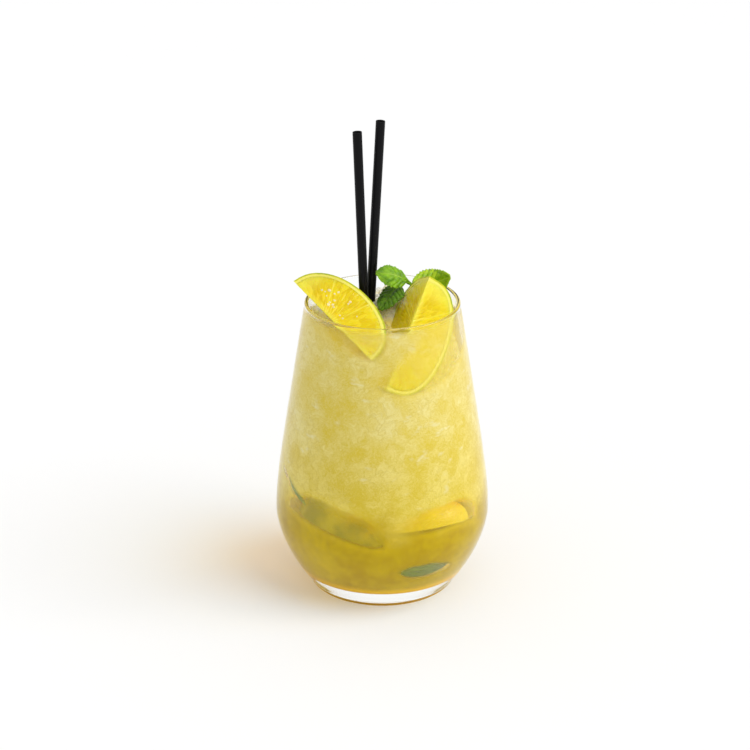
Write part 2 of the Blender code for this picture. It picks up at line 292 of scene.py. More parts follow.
def make_skin(material, fruit, leaves):
    """The thin cloudy layer against the glass, which thins out where fruit or a leaf touches it."""
    bottom = FLOOR - WALL_TOUCH
    first = drink_radius(bottom, -WALL_TOUCH)
    outline = [(0.0005, bottom), (0.3 * first, bottom), (0.7 * first, bottom), (first, bottom)]
    heights = steps_between(FLOOR + 0.0003, RIM_TOP - 0.0016, 0.0009)
    outline += [(drink_radius(z, -WALL_TOUCH), z) for z in heights]
    skin = turned("drink_skin", outline, steps=180, close_last=False)
    smooth(skin, 60)

    def near(point, share):
        """Less by share where the fruit lies deep behind the wall."""
        return 1 - share * ramp_up(fruit.read(fruit.seen_depth, point), 0.005, 0.015)

    def cover(point):
        """1 where the layer is whole: less over fruit, and less up the wall above the ice."""
        front = ramp_up(-point.y, -0.020, 0.010)
        film = 1 - ramp_up(point.z, ICE_EDGE - 0.0005 + 0.0045 * front, ICE_EDGE + 0.0008 + 0.0068 * front)
        return (film * (1 - 0.70 * near(point, 0.92) * fruit.read(fruit.shown, point))
                * (1 - 0.90 * leaves.read(leaves.shown, point)))

    def juice(point):
        """1 where fruit close behind colours the layer."""
        return near(point, 0.8) * fruit.read(fruit.halo, point)
    keep_value(skin, "cover", cover)
    keep_value(skin, "juice", juice)
    skin.visible_shadow = skin.visible_diffuse = False
    return hand_over(skin, "glass", material, "ice")


def joined_shape(names):
    """The points and faces of several CAD nodes together."""
    points, faces = [], []
    for name in names:
        start = len(points)
        mesh = nodes[name].data
        points += [vert.co.copy() for vert in mesh.vertices]
        faces += [[start + k for k in face.vertices] for face in mesh.polygons]
    return points, faces


class FruitMap:
    """How deep behind the wall fruit and leaves lie, and how fully they show, by bearing and height."""
    rows, columns, reach = 150, 300, 0.022

    def __init__(self, names):
        self.tree = BVHTree.FromPolygons(*joined_shape(names))
        known, self.depth = self.look_in(slope=0.0)
        self.spread = np.clip(self.soften(known, 4) * 2.2, 0, 1)
        known, self.seen_depth = self.look_in(slope=LOOK_SLOPE)
        self.shown, self.halo = self.soften(known, 1), self.soften(known, 12)

    def look_in(self, slope):
        """Where a look in through the wall, downwards by slope, meets fruit, and how deep."""
        known, depth = np.zeros((self.rows, self.columns)), np.zeros((self.rows, self.columns))
        for row in range(self.rows):
            z = self.height(row)
            for column in range(self.columns):
                turn = 2 * math.pi * column / self.columns
                way = Vector((math.cos(turn), math.sin(turn), 0))
                start = way * inner_radius(z) + Vector((0, 0, z))
                hit = self.tree.ray_cast(start, (-way - Vector((0, 0, slope))).normalized(), self.reach)
                if hit[0] is not None:
                    known[row, column], depth[row, column] = 1, hit[3]
        weight = self.soften(known, 16)
        return known, self.soften(depth, 16) / np.maximum(weight, 1e-6)

    def height(self, row):
        return FLOOR + 0.001 + (RIM_TOP - 0.002 - FLOOR) * row / (self.rows - 1)

    @staticmethod
    def soften(field, times):
        for _ in range(times):
            field = (2 * field + np.roll(field, 1, 1) + np.roll(field, -1, 1)) / 4
            up, down = np.vstack([field[:1], field[:-1]]), np.vstack([field[1:], field[-1:]])
            field = (2 * field + up + down) / 4
        return field

    def read(self, field, point):
        """The field's value at a point's bearing and height."""
        row = (point.z - self.height(0)) / (self.height(1) - self.height(0))
        row = min(max(row, 0), self.rows - 1.001)
        column = math.atan2(point.y, point.x) / (2 * math.pi) % 1 * self.columns
        r, c = int(row), int(column)
        a, b = row - r, column - c
        c0, c1 = c % self.columns, (c + 1) % self.columns
        return ((1 - a) * ((1 - b) * field[r, c0] + b * field[r, c1])
                + a * ((1 - b) * field[r + 1, c0] + b * field[r + 1, c1]))


def make_fillings(ice_material, juice_material, maps):
    """The cloudy core: muddled juice below, crushed ice above, dented where fruit shows."""
    def wall(low, high):
        return [(drink_radius(z, SKIN_DEPTH), z) for z in steps_between(low, high, 0.002)]

    seam, low = JUICE_TOP, FLOOR + 0.0004
    first = drink_radius(low, SKIN_DEPTH)
    outline = [(0.0005, low), (0.5 * first, low), (first, low)] + wall(low + 0.001, seam)
    outline += [(0.6 * outline[-1][0], seam), (0.0005, seam)]
    juice = turned("murky_juice", outline, steps=96)
    brim = ICE_EDGE - 0.0030
    outline = [(0.0005, seam), (0.6 * drink_radius(seam, SKIN_DEPTH), seam)] + wall(seam, brim)
    for z in steps_between(brim, ICE_EDGE, 0.0008)[1:]:
        outline.append((drink_radius(z, SKIN_DEPTH * (1 - ramp_up(z, brim, ICE_EDGE - 0.0006))
                                     - WALL_TOUCH), z))
    edge = outline[-1][0]
    outline += [(edge * k / 30, mound_height(k / 30)) for k in range(29, 0, -1)]
    ice = turned("slush_mound", outline, steps=96)

    def dent(point):
        for fruit in maps:
            spread = fruit.read(fruit.spread, point)
            inset = SKIN_DEPTH * 0.9 + spread * (fruit.read(fruit.depth, point) + 0.0028)
            most = max(drink_radius(point.z, inset), 0.004)
            if spread > 0.02 and point.xy.length > most:
                point.xy *= most / point.xy.length
        return point

    def roughen(point):
        top = ramp_up(point.z, ICE_EDGE - 0.0002, ICE_EDGE + 0.0015)
        swing = noise.fractal(point * 380, 0.9, 2.1, 4) * 0.0009
        hollow = ramp_up(-point.y, -0.006, 0.004) * (1 - ramp_up(point.xy.length, 0.0235, 0.0285))
        return point + Vector((0, 0, top * (swing - HOLLOW * hollow)))
    reshape(juice, dent)
    reshape(ice, lambda point: roughen(dent(point)))
    for piece, material, slot, node in ((juice, juice_material, "juice", "muddled_juice"),
                                        (ice, ice_material, "ice", "crushed_ice")):
        smooth(piece, 60)
        hand_over(piece, "glass", material, slot, node)


# Ice on top

def make_crumb(name, size, rng):
    """One broken piece of ice, with flat faces."""
    deselect()
    bpy.ops.mesh.primitive_ico_sphere_add(subdivisions=1, radius=size / 2)
    crumb = named(name)
    edit(crumb)
    for _ in range(3):
        way = Vector([rng.gauss(0, 1) for _ in range(3)]).normalized()
        bpy.ops.mesh.select_all(action="SELECT")
        bpy.ops.mesh.bisect(plane_co=way * size * rng.uniform(0.22, 0.34), plane_no=way,
                            use_fill=True, clear_outer=True)
    leave_edit()
    reshape(crumb, lambda p: Vector((p.x * 1.25, p.y, p.z * 0.8)))
    return crumb


def make_chips(material):
    """Larger chips, each in the place of its CAD node."""
    for k in range(1, 9):
        node = f"ice_chip_{k:02d}"
        low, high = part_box(node)
        rng = random.Random(40 + k)
        chip = make_crumb(f"broken_{node}", 1.0, rng)
        bevel = chip.modifiers.new("worn", "BEVEL")
        bevel.width, bevel.segments, bevel.limit_method = 0.05, 2, "ANGLE"
        finish_modifiers(chip)
        turn = Matrix.Rotation(rng.uniform(0, 6), 4, "Z") @ Matrix.Rotation(rng.uniform(0, 6), 4, "X")
        place(chip, turn)
        points = np.array([vert.co for vert in chip.data.vertices])
        chip_low, chip_high = Vector(points.min(0)), Vector(points.max(0))
        size, span = high - low, chip_high - chip_low
        scale = Matrix.Diagonal((*(size[i] / span[i] for i in range(3)), 1))
        place(chip, Matrix.Translation((low + high) / 2) @ scale
              @ Matrix.Translation(-(chip_low + chip_high) / 2))
        smooth(chip, 25)
        hand_over(chip, "glass", material, "chip", node)


def make_rubble(material, guests, count=520):
    """The crushed ice that lies loose on the mound, clear of the fruit, mint and straws."""
    rng = random.Random(11)
    near = BVHTree.FromPolygons(*joined_shape(guests))
    crumbs = []
    shapes = [make_crumb("crumb", 1.0, rng) for _ in range(5)]
    edge = inner_radius(ICE_EDGE) - 0.0010
    for _ in range(count):
        out, turn = edge * math.sqrt(rng.random()), rng.uniform(0, 2 * math.pi)
        size = rng.choice(CRUMB_SIZES)
        height = mound_height(out / edge) + 0.12 * size
        spot = Vector((out * math.cos(turn), out * math.sin(turn), height))
        if (near.find_nearest(spot)[3] < 0.62 * size + 0.0002 or out + 0.65 * size > edge
                or spot.y < 0.3 * abs(spot.x) + 0.002):
            continue
        crumb = rng.choice(shapes).copy()
        crumb.data = crumb.data.copy()
        bpy.context.scene.collection.objects.link(crumb)
        tilt = Matrix.Rotation(rng.uniform(0, 6.3), 4, "Z") @ Matrix.Rotation(rng.uniform(0, 6.3), 4, "X")
        place(crumb, Matrix.Translation(spot) @ tilt @ Matrix.Scale(size, 4))
        crumbs.append(crumb)
    for shape in shapes:
        bpy.data.objects.remove(shape)
    rubble = joined(crumbs, "crushed_ice_rubble")
    smooth(rubble, 20)
    hand_over(rubble, "glass", material, "chip")


# Straws

def make_straw(node, body, material):
    """A thin black tube with softened ends, along the CAD straw's own axis."""
    points = points_of(node)
    top = points[points[:, 2] > points[:, 2].max() - 0.0006].mean(0)
    foot = points[points[:, 2] < points[:, 2].min() + 0.0006].mean(0)
    axis = Vector(top - foot)
    off = np.cross(points - foot, np.array(axis.normalized()))
    radius = float(np.linalg.norm(off, axis=1).max())
    along = (points - foot) @ np.array(axis.normalized())
    deselect()
    bpy.ops.mesh.primitive_cylinder_add(
        vertices=48, radius=radius, depth=float(along.max() - along.min()), end_fill_type="NOTHING")
    straw = named(node + "_tube")
    wall = straw.modifiers.new("wall", "SOLIDIFY")
    wall.thickness, wall.offset = STRAW_WALL, -1
    soften = straw.modifiers.new("lip", "BEVEL")
    soften.width, soften.segments, soften.limit_method = 0.00008, 2, "ANGLE"
    finish_modifiers(straw)
    keep_local(straw, "tube")
    middle = Vector(foot) + axis.normalized() * float(along.max() + along.min()) / 2
    place(straw, Matrix.Translation(middle) @ axis.to_track_quat("Z", "Y").to_matrix().to_4x4())
    smooth(straw, 40)
    hand_over(straw, body, material, "straw", node)


# Limes

def seat_of(rind):
    """A wedge's own frame (X to the middle of its peel, Z along its core), length, depth and angle."""
    points = points_of(rind)
    apart = np.linalg.norm(points[:, None] - points[None], axis=2)
    a, b = np.unravel_index(apart.argmax(), apart.shape)
    low, high = sorted((points[a], points[b]), key=lambda p: p[2])
    middle, along = Vector((low + high) / 2), Vector(high - low)
    z = along.normalized()
    out = Vector(points.mean(0)) - middle
    x = (out - out.dot(z) * z).normalized()
    seat = Matrix((x, z.cross(x), z)).transposed().to_4x4()
    seat.translation = middle
    local = [seat.inverted() @ Vector(p) for p in points]
    depth = max(math.hypot(p.x, p.y) for p in local)
    angle = 2 * max(abs(math.atan2(p.y, p.x)) for p in local if p.x > 0.5 * depth)
    return seat, along.length, depth, angle


def lime_outline(length, depth, bluntness, count=26):
    """(radius, height) points of a whole lime's outside, from its lower end to its upper end."""
    turns = [math.pi * k / count for k in range(count + 1)]
    return [(max(depth * max(math.sin(a), 0) ** bluntness, 0.0002), -length / 2 * math.cos(a))
            for a in turns]


def slice_out(piece, angle, fill, shy=0.0):
    """Cuts a turned lime down to the wedge between two planes through its core."""
    edit(piece)
    for side in (1, -1):
        bpy.ops.mesh.select_all(action="SELECT")
        bpy.ops.mesh.bisect(
            plane_co=(shy, 0, 0), plane_no=(-math.sin(angle / 2), side * math.cos(angle / 2), 0),
            use_fill=fill, clear_outer=True)
    leave_edit()


def make_wedge(name, peel_material, flesh_material, lean=0.0, bluntness=0.85):
    """A lime wedge: a peel with a real thickness, and flesh whose cut faces are slightly raised.

    The ends of the fruit are blunter where bluntness is lower.
    """
    seat, length, depth, angle = seat_of(name + "_rind")
    peel = turned(name + "_peel", lime_outline(length, depth, bluntness), steps=71)
    slice_out(peel, angle, fill=False)
    wall = peel.modifiers.new("wall", "SOLIDIFY")
    wall.thickness, wall.offset, wall.use_even_offset = PEEL, -1, False
    finish_modifiers(peel)
    outside = curve_through([(z, r) for r, z in lime_outline(length, depth, bluntness)])
    keep_value(peel, "inward", lambda p: min(max((outside(p.z) - p.xy.length) / PEEL, 0), 1))

    inside = PEEL - FLESH_OVERLAP
    outline = lime_outline(length - 2 * inside, depth - inside, bluntness)
    flesh = turned(name + "_flesh", outline, steps=67)
    slice_out(flesh, angle, fill=True, shy=0.00008)
    edit(flesh)
    pick(flesh, "FACE", lambda f: f.calc_area() > 0.2 * length * depth)
    for thickness, rise in ((0.0003, 0.0001), (0.0006, 0.00012), (0.0015, 0.00008)):
        bpy.ops.mesh.inset(thickness=thickness, depth=rise, use_individual=True, use_even_offset=False)
    leave_edit()
    if lean:
        def widen(point):
            """Pushes the core outwards near the upper end, where the stem was cut off."""
            share = point.z / length
            hump = ramp_up(share, -0.30, 0.15) * (1 - ramp_up(share, 0.15, 0.46))
            inner = 1 - min(point.xy.length / max(outside(point.z), 0.001), 1)
            return point - Vector((lean * hump * inner, 0, 0))
        reshape(flesh, widen)
    body, bruised = ("glass", "bruised_") if name.startswith("muddled") else (name, "")
    for piece, material, part in ((peel, peel_material, "rind"), (flesh, flesh_material, "pulp")):
        keep_local(piece, "fruit")
        place(piece, seat)
        smooth(piece, 35)
        hand_over(piece, body, material, bruised + part, f"{name}_{part}")
    return seat, angle


def make_droplets(seat, angle, material, count=16):
    """Drops of water on the cut face of the left wedge that looks up."""
    rng = random.Random(4)
    drops = []
    across = Vector((math.cos(angle / 2), -math.sin(angle / 2), 0))
    out = Vector((-math.sin(angle / 2), -math.cos(angle / 2), 0))
    for k in range(count):
        size = rng.uniform(0.00030, 0.00070)
        spot = across * rng.uniform(0.0025, 0.0115) + out * 0.00030
        spot.z = rng.uniform(-0.004, 0.013) if k % 4 else rng.uniform(-0.012, 0.013)
        deselect()
        bpy.ops.mesh.primitive_ico_sphere_add(subdivisions=2, radius=size)
        drop = bpy.context.object
        flat = out.to_track_quat("Z", "Y").to_matrix().to_4x4()
        place(drop, Matrix.Translation(spot) @ flat @ Matrix.Diagonal((1, rng.uniform(0.8, 1.3), 0.6, 1)))
        drops.append(drop)
    drops = joined(drops, "left_wedge_droplets")
    place(drops, seat)
    smooth(drops, 80)
    hand_over(drops, "left_wedge", material, "pulp")


# Mint

def leaf_frame(node, root):
    """A leaf's base, its axes along, across and up, its length, width and the rise of its middle."""
    points = points_of(node)
    middle = points.mean(0)
    axes = np.linalg.svd(points - middle, full_matrices=False)[2]
    along = axes[0] * np.sign((middle - np.array(root)) @ axes[0])
    up = axes[2] * (1 if axes[2][2] > 0 else -1)
    across = np.cross(up, along)
    u = (points - middle) @ along
    v = (points - middle) @ across
    w = (points - middle) @ up
    ends = w[np.abs(u) > 0.42 * (u.max() - u.min())].mean()
    rise = w[np.abs(u) < 0.15 * (u.max() - u.min())].mean() - ends
    base = middle + along * u.min() + up * ends
    frame_of = Matrix((along, across, up)).transposed().to_4x4()
    frame_of.translation = Vector(base)
    return frame_of, float(u.max() - u.min()), float(v.max() - v.min()), float(rise)


def make_leaf(name, node, material, root, fold, seed, wall=False, ruffle=1.0,
              grow=(1, 1, 1), shift=(0, 0, 0), turns=(0, 0, 0), stalk=0.0):
    """A mint leaf: toothed edge, sunken veins, puckered between them, folded along its midrib.

    It belongs to the sprig, or lies flat against the glass's wall.
    """
    place_of, length, width, rise = leaf_frame(node, root)
    length, width, rise = length * grow[0], width * grow[1], rise * grow[2]
    roll, pitch, yaw = (Matrix.Rotation(math.radians(turn), 4, axis) for turn, axis in zip(turns, "XYZ"))
    place_of = Matrix.Translation(shift) @ place_of @ yaw @ pitch @ roll
    deselect()
    bpy.ops.mesh.primitive_grid_add(x_subdivisions=64, y_subdivisions=28, size=2)
    leaf = named(name)
    layer = leaf.data.attributes.new("leaf", "FLOAT_VECTOR", "POINT")
    layer.data.foreach_set("vector", [c for vert in leaf.data.vertices
                                      for c in ((vert.co.x + 1) / 2, vert.co.y, seed)])

    def shape(point):
        u, v = (point.x + 1) / 2, point.y
        blade = max((u - stalk) / (1 - stalk), 0)
        half = 0.05 * width + width / 2 * 0.96 * max(math.sin(math.pi * blade ** 0.82), 0) ** 0.75
        tooth = (u * 13 + 0.25) % 1
        edge = half * (1 - 0.13 * tooth * ramp_up(abs(v), 0.55, 1.0) * ruffle)
        rib = abs(((u * VEINS - abs(v) * VEIN_LEAN) % 1) - 0.5) * 2
        pucker = 0.05 * width * (1 - rib ** 2) * ramp_up(abs(v), 0.04, 0.3) * ruffle
        droop = fold * half * v * v
        wave = 0.06 * width * math.sin(9 * u + 3 * seed) * v * abs(v) * ruffle
        fade = math.sin(math.pi * min(max(u, 0.02), 0.98)) ** 0.5
        return Vector((u * length, edge * v,
                       rise * math.sin(math.pi * u) + (pucker - droop + wave) * fade))
    reshape(leaf, shape)
    skin = leaf.modifiers.new("thickness", "SOLIDIFY")
    skin.thickness, skin.offset = LEAF_WALL, 0
    finish_modifiers(leaf)
    place(leaf, place_of)
    if wall:
        depth = np.mean([inner_radius(p[2]) - math.hypot(p[0], p[1]) for p in points_of(node)])
        flat = place_of.inverted()

        def wrap(point):
            local = flat @ point
            out = Vector(point.xy).normalized() * (inner_radius(point.z) - float(depth) + 0.3 * local.z)
            return Vector((*out, point.z))
        reshape(leaf, wrap)
    smooth(leaf, 50)
    body, slot = ("glass", "bruised_mint") if wall else ("mint_sprig", "mint")
    hand_over(leaf, body, material, slot, node)


def make_stem(node, body, material):
    """A short round mint stem of even thickness, drawn through the middle of the CAD stem."""
    points = points_of(node)
    middle = points.mean(0)
    axis = np.linalg.svd(points - middle, full_matrices=False)[2][0]
    along = (points - middle) @ axis
    low, high = along.min(), along.max()
    centres = []
    for k in range(7):
        at = low + (high - low) * (0.04 + 0.92 * k / 6)
        weight = np.exp(-((along - at) / (0.16 * (high - low))) ** 2)
        centres.append(Vector((points * weight[:, None]).sum(0) / weight.sum()))
    deselect()
    bpy.ops.mesh.primitive_circle_add(vertices=20, radius=STEM_RADIUS, fill_type="NGON")
    stem = named("sprig_stem")
    turn = (centres[1] - centres[0]).to_track_quat("Z", "Y").to_matrix().to_4x4()
    place(stem, Matrix.Translation(centres[0]) @ turn)
    edit(stem)
    bpy.ops.mesh.select_all(action="SELECT")
    for before, after in zip(centres, centres[1:]):
        bpy.ops.mesh.extrude_region_move(TRANSFORM_OT_translate={"value": after - before})
    bpy.ops.mesh.select_all(action="SELECT")
    bpy.ops.mesh.normals_make_consistent(inside=False)
    leave_edit()
    smooth(stem, 60)
    hand_over(stem, body, material, "mint", node)


# Materials

class Board:
    """Lays out the nodes of one material or node group."""

    def __init__(self, tree):
        self.tree = tree
        self.shader = tree.nodes.get("Principled BSDF")

    def add(self, kind, inputs=None, **settings):
        node = self.tree.nodes.new("ShaderNode" + kind)
        for key, value in settings.items():
            setattr(node, key, value)
        for key, value in (inputs or {}).items():
            self.feed(node.inputs[key], value)
        return node

    def feed(self, socket, value):
        if isinstance(value, bpy.types.NodeSocket):
            self.tree.links.new(value, socket)
        else:
            socket.default_value = value

    def math(self, operation, *values, clamp=False):
        node = self.add("Math", operation=operation, use_clamp=clamp)
        for socket, value in zip(node.inputs, values):
            self.feed(socket, value)
        return node.outputs[0]

    def vector(self, operation, *values):
        node = self.add("VectorMath", operation=operation)
        for socket, value in zip(node.inputs, values):
            self.feed(socket, value)
        return node.outputs["Value" if operation in ("LENGTH", "DOT_PRODUCT") else "Vector"]

    def times(self, first, second):
        return self.math("MULTIPLY", first, second)

    def plus(self, first, second):
        return self.math("ADD", first, second)

    def minus(self, first, second):
        return self.math("SUBTRACT", first, second)

    def here(self):
        """Where a point of the surface lies."""
        return self.add("TexCoord").outputs["Object"]

    def kept(self, name, kind="Vector"):
        """What the piece's mesh keeps under a name."""
        return self.add("Attribute", attribute_name=name).outputs[kind]

    def red(self, colour):
        return self.add("SeparateColor", {0: colour}).outputs[0]

    def blend(self, factor, first, second):
        node = self.add("Mix", data_type="RGBA")
        for socket, value in ((node.inputs[0], factor), (node.inputs[6], first), (node.inputs[7], second)):
            self.feed(socket, value)
        return node.outputs[2]

    def span(self, value, low, high, to_low=0.0, to_high=1.0):
        """The value's range from low to high, smoothly taken to another range."""
        node = self.add("MapRange", {"Value": value, "From Min": low, "From Max": high,
                                     "To Min": to_low, "To Max": to_high},
                        interpolation_type="SMOOTHSTEP")
        return node.outputs["Result"]

    def noise(self, where, size, detail=3.0, roughness=0.5):
        return self.add("TexNoise", {"Vector": where, "Scale": 1 / size, "Detail": detail,
                                     "Roughness": roughness}).outputs["Fac"]

    def colour(self, value):
        self.feed(self.shader.inputs["Base Color"], value)

    def roughness(self, value):
        self.feed(self.shader.inputs["Roughness"], value)

    def bump(self, height, distance):
        node = self.add("Bump", {"Height": height, "Distance": distance})
        self.feed(self.shader.inputs["Normal"], node.outputs["Normal"])

    def let_lamps_through(self, tint, diffuse=False):
        """Mixes in a tinted Transparent shader for rays that carry light, so that light passes on."""
        path = self.add("LightPath")
        clear = self.add("BsdfTransparent", {"Color": tint})
        last = self.shader.outputs[0]
        for ray in ("Is Diffuse Ray", "Is Shadow Ray") if diffuse else ("Is Shadow Ray",):
            mix = self.add("MixShader", {0: path.outputs[ray]})
            self.tree.links.new(last, mix.inputs[1])
            self.tree.links.new(clear.outputs[0], mix.inputs[2])
            last = mix.outputs[0]
        self.tree.links.new(last, self.tree.nodes["Material Output"].inputs["Surface"])


def new_group(name, inputs, outputs):
    """A node group with (name, kind, value) inputs, number outputs, and a board to lay it out on."""
    tree = bpy.data.node_groups.new(name, "ShaderNodeTree")
    for label, kind, value in inputs:
        socket = tree.interface.new_socket(name=label, in_out="INPUT", socket_type="NodeSocket" + kind)
        if value is not None:
            socket.default_value = value
    for label in outputs:
        tree.interface.new_socket(name=label, in_out="OUTPUT", socket_type="NodeSocketFloat")
    board = Board(tree)
    return tree, board, tree.nodes.new("NodeGroupInput"), tree.nodes.new("NodeGroupOutput")


def crushed_ice_group():
    """Packed broken ice: Milky is how white each bit is, Gap the thin seams, Height the relief."""
    tree, board, given, made = new_group(
        "Crushed ice", [("Vector", "Vector", None), ("Cell", "Float", 0.004)],
        ["Milky", "Gap", "Height"])
    where, cell = given.outputs["Vector"], given.outputs["Cell"]
    scale = board.math("DIVIDE", 1.0, cell)
    warp = board.add("TexNoise", {"Vector": where, "Scale": board.times(scale, 0.9),
                                  "Detail": 4.0})
    shift = board.vector("SUBTRACT", warp.outputs["Color"], (0.5, 0.5, 0.5))
    bent = board.add("VectorMath", {0: shift, "Scale": board.times(cell, 2.2)},
                     operation="SCALE").outputs["Vector"]
    bent = board.vector("ADD", where, bent)
    bits = board.add("TexVoronoi", {"Vector": bent, "Scale": scale, "Smoothness": 0.8},
                     feature="SMOOTH_F1")
    seams = board.add("TexVoronoi", {"Vector": bent, "Scale": scale}, feature="DISTANCE_TO_EDGE")
    tone = board.red(bits.outputs["Color"])
    fine = board.add("TexNoise", {"Vector": bent, "Scale": board.times(scale, 4.5),
                                  "Detail": 4.0, "Roughness": 0.62}).outputs["Fac"]
    broad = board.add("TexNoise", {"Vector": where, "Scale": board.times(scale, 0.22),
                                   "Detail": 2.0}).outputs["Fac"]
    total = board.plus(board.times(tone, 0.17), board.times(fine, 0.62))
    total = board.plus(total, board.times(broad, 0.62))
    board.feed(made.inputs["Milky"], board.span(total, 0.42, 0.98))
    gap = board.span(seams.outputs["Distance"], 0.0, 0.10, 1.0, 0.0)
    board.feed(made.inputs["Gap"], board.times(gap, board.span(broad, 0.4, 0.6)))
    board.feed(made.inputs["Height"], board.plus(total, board.times(gap, -0.4)))
    return tree


def pores_group():
    """Oil glands of a lime's peel: small round dimples of uneven depth."""
    tree, board, given, made = new_group(
        "Peel pores", [("Vector", "Vector", None), ("Size", "Float", 0.0009)], ["Pore", "Height"])
    scale = board.math("DIVIDE", 1.0, given.outputs["Size"])
    dots = board.add("TexVoronoi", {"Vector": given.outputs["Vector"], "Scale": scale})
    pore = board.span(dots.outputs["Distance"], 0.12, 0.5, 1.0, 0.0)
    tone = board.red(dots.outputs["Color"])
    board.feed(made.inputs["Pore"], board.times(pore, tone))
    board.feed(made.inputs["Height"], board.times(pore, -1.0))
    return tree


def start_material(name, glow=None, **settings):
    """A material with one Principled shader, its plain values set on the shader's own sockets.

    Its glow is the weight and the radius of light under the surface.
    """
    material = bpy.data.materials.new(name)
    material.use_nodes = True
    board = Board(material.node_tree)
    if glow:
        settings.update(Subsurface_Weight=glow[0], Subsurface_Radius=glow[1], Subsurface_Scale=1.0)
    for key, value in settings.items():
        board.shader.inputs[key.replace("_", " ")].default_value = value
    return material, board


def place_group(board, group, **inputs):
    node = board.tree.nodes.new("ShaderNodeGroup")
    node.node_tree = group
    for key, value in inputs.items():
        board.feed(node.inputs[key], value)
    return node.outputs


def height_of(board, where):
    return board.add("SeparateXYZ", {0: where}).outputs[2]


def glass_material():
    material, board = start_material(
        "clear glass", Base_Color=(0.985, 1.0, 0.99, 1), Roughness=0.0, IOR=1.5,
        Transmission_Weight=1.0, Specular_Tint=(0.55, 0.50, 0.36, 1))
    where = board.here()
    smear = board.noise(where, 0.018, 3.0)
    board.roughness(board.span(smear, 0.55, 0.8, 0.0, 0.02))
    board.let_lamps_through((0.97, 0.98, 0.97, 1), diffuse=True)
    return material


def drink_colour(board, where, group, cell):
    """Colour of the drink by height: pale slush above, fading into dark muddled juice below, with a painted
    amber glow of light shining through it at its lower edges.
    """
    ice = place_group(board, group, Vector=where, Cell=cell)
    height = height_of(board, where)
    wobble = board.times(board.minus(board.noise(where, 0.013, 3.0), 0.5), 0.022)
    level = board.plus(height, wobble)
    slush = board.blend(ice["Milky"], rgb(224, 197, 58), rgb(240, 225, 150))
    low_slush = board.blend(ice["Milky"], rgb(216, 188, 38), rgb(238, 218, 116))
    slush = board.blend(board.span(level, 0.045, 0.085), low_slush, slush)
    juice = board.blend(ice["Milky"], rgb(176, 142, 0), rgb(206, 176, 4))
    colour = board.blend(board.span(level, 0.033, 0.049), juice, slush)
    colour = board.blend(board.times(ice["Gap"], 0.2), colour, rgb(186, 158, 32))
    streaks = board.noise(board.vector("MULTIPLY", where, (1.0, 1.0, 2.2)), 0.009, 4.0)
    flakes = board.times(board.span(streaks, 0.60, 0.72, 0.0, 0.38), board.span(level, 0.040, 0.060))
    colour = board.blend(flakes, colour, rgb(246, 240, 206))
    # Painted light: an amber glow where the lower drink is seen edge-on, standing in for light that shines
    # through it from behind.
    edge = board.add("LayerWeight", {"Blend": 0.35}).outputs["Facing"]
    glow = board.times(board.span(edge, 0.2, 0.6), board.span(height, 0.085, 0.045))
    colour = board.blend(glow, colour, rgb(255, 204, 0))
    return colour, ice


def skin_material(group):
    material, board = start_material("wet cloudy skin", Roughness=0.5, Specular_IOR_Level=0.0)
    where = board.here()
    colour, ice = drink_colour(board, where, group, ICE_CELL)
    cover = board.kept("cover", "Fac")
    bled = board.kept("juice", "Fac")
    colour = board.blend(board.times(bled, 0.8), colour, rgb(244, 212, 0))
    board.colour(colour)
    body = board.span(ice["Milky"], 0.0, 1.0, 0.92, 1.0)
    board.feed(board.shader.inputs["Alpha"], board.math("MULTIPLY", body, cover, clamp=True))
    return material


def core_material(name, group, tint):
    material, board = start_material(
        name, glow=(0.5, (0.004, 0.003, 0.001)), Roughness=0.35, Specular_IOR_Level=0.2)
    where = board.here()
    colour, ice = drink_colour(board, where, group, ICE_CELL * 1.3)
    top = board.span(height_of(board, where), ICE_EDGE - 0.001, ICE_EDGE + 0.001)
    colour = board.blend(top, colour, board.blend(ice["Milky"], rgb(214, 200, 150), rgb(244, 240, 222)))
    board.colour(colour)
    board.bump(ice["Height"], 0.0006)
    board.let_lamps_through(tint)
    return material


def ice_material(group):
    material, board = start_material(
        "broken ice", glow=(0.5, (0.002, 0.002, 0.002)), Roughness=0.12, IOR=1.31, Coat_Weight=0.3)
    where = board.here()
    ice = place_group(board, group, Vector=where, Cell=0.0016)
    cloud = board.noise(where, 0.006, 2.0)
    colour = board.blend(ice["Milky"], rgb(226, 222, 200), rgb(246, 244, 238))
    colour = board.blend(board.span(cloud, 0.50, 0.72), colour, rgb(232, 220, 160))
    board.colour(colour)
    board.roughness(board.span(ice["Milky"], 0.0, 1.0, 0.1, 0.4))
    board.bump(ice["Height"], 0.0001)
    board.let_lamps_through((0.95, 0.90, 0.72, 1))
    return material


def water_material():
    # The pale, half-opaque base colour is a painted highlight: it makes the drops read as bright spots in
    # place of their glints.
    material, board = start_material(
        "water drops", Base_Color=(1, 0.99, 0.84, 1), Roughness=0.02, IOR=1.33, Transmission_Weight=0.55)
    where = board.here()
    board.roughness(board.span(board.noise(where, 0.001, 2.0), 0.4, 0.7, 0.0, 0.06))
    board.let_lamps_through((1, 0.97, 0.8, 1), diffuse=True)
    return material


def straw_material():
    material, board = start_material(
        "black straw", Base_Color=rgb(8, 8, 10), Roughness=0.38, Specular_IOR_Level=0.14)
    tube = board.kept("tube")
    stretched = board.vector("MULTIPLY", tube, (1, 1, 0.04))
    drawn = board.noise(stretched, 0.0006, 3.0)
    board.roughness(board.span(drawn, 0.3, 0.7, 0.32, 0.5))
    board.colour(board.blend(drawn, rgb(6, 6, 8), rgb(16, 15, 18)))
    board.bump(drawn, 0.00002)
    return material


